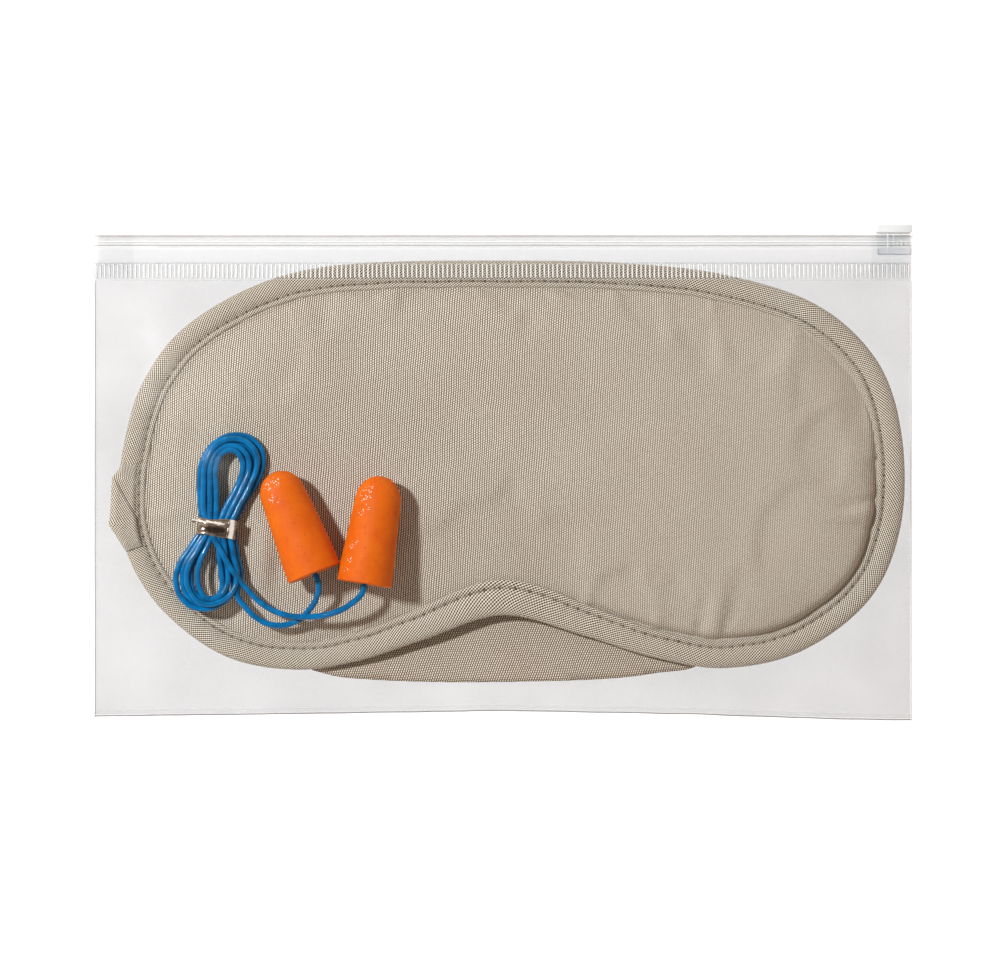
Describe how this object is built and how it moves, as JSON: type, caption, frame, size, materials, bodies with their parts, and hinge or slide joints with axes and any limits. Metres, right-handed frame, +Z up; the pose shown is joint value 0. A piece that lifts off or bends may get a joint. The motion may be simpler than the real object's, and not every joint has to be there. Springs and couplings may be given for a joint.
{
  "type": "travel sleep kit in a clear slider pouch",
  "caption": "Flat clear film pouch with a zip and slider, holding a padded eye mask with a bound edge and foam ear plugs joined by a folded cord.",
  "frame": {"origin": "under the middle of the pouch, on the surface that the pouch lies on", "axes": "+Z up out of the surface, +Y towards the zipped mouth, +X towards the end where the slider is parked"},
  "size_m": [0.2048, 0.123, 0.0239],
  "materials": {
    "film": "clear gloss film",
    "weld": "clear pressed weld",
    "zip": "clear moulded profile",
    "slider": "frosted white",
    "mask_cloth": "plain weave",
    "binding_tape": "bias-cut plain weave",
    "pad_foam": "soft foam",
    "thread": "twisted thread",
    "elastic": "ribbed elastic",
    "plug_foam": "smooth-skinned foam",
    "cord": "translucent gloss",
    "foil": "creased foil"
  },
  "bodies": {
    "pouch": {"pouch_back_panel": "film", "bottom_seam": "weld", "side_seam_left": "weld", "side_seam_right": "weld", "zip_track_back": "zip", "weld_ribs_back": "weld", "zip_end_left": "zip", "zip_end_right": "zip"},
    "pouch_front": {"pouch_front_panel": "film", "zip_track_front": "zip", "weld_ribs_front": "weld"},
    "slider": {"zip_slider": "slider"},
    "mask": {"mask_lining": "mask_cloth", "mask_pad": "pad_foam", "mask_face": "mask_cloth", "mask_binding": "binding_tape", "binding_fold": "binding_tape", "mask_stitching": "thread", "nose_flap": "mask_cloth", "strap": "elastic", "strap_tack_left": "thread", "strap_tack_right": "thread"},
    "earplugs": {"earplug_left": "plug_foam", "earplug_right": "plug_foam", "cord_hank": "cord", "cord_lead_left": "cord", "cord_lead_right": "cord", "twist_tie": "foil"}
  },
  "joints": [
    {"name": "slider_travel", "type": "slide", "parent": "pouch", "child": "slider", "axis": [-1, 0, 0], "range_m": [0, 0.1963]},
    {"name": "mask_out", "type": "slide", "parent": "pouch", "child": "mask", "axis": [0, 0.9936, 0.1132], "range_m": [0, 0.11]},
    {"name": "mouth_open", "type": "hinge", "parent": "pouch", "child": "pouch_front", "pos_m": [0, -0.0598, 0.00015], "axis": [1, 0, 0], "range_deg": [0, 38.5]},
    {"name": "earplugs_out", "type": "slide", "parent": "pouch", "child": "earplugs", "axis": [0, 0.9936, 0.1132], "range_m": [0, 0.11]}
  ],
  "couplings": [
    {"joint": "mouth_open", "follows": "mask_out", "rad_per_m": 6.1},
    {"joint": "earplugs_out", "follows": "mask_out", "ratio": 1}
  ]
}
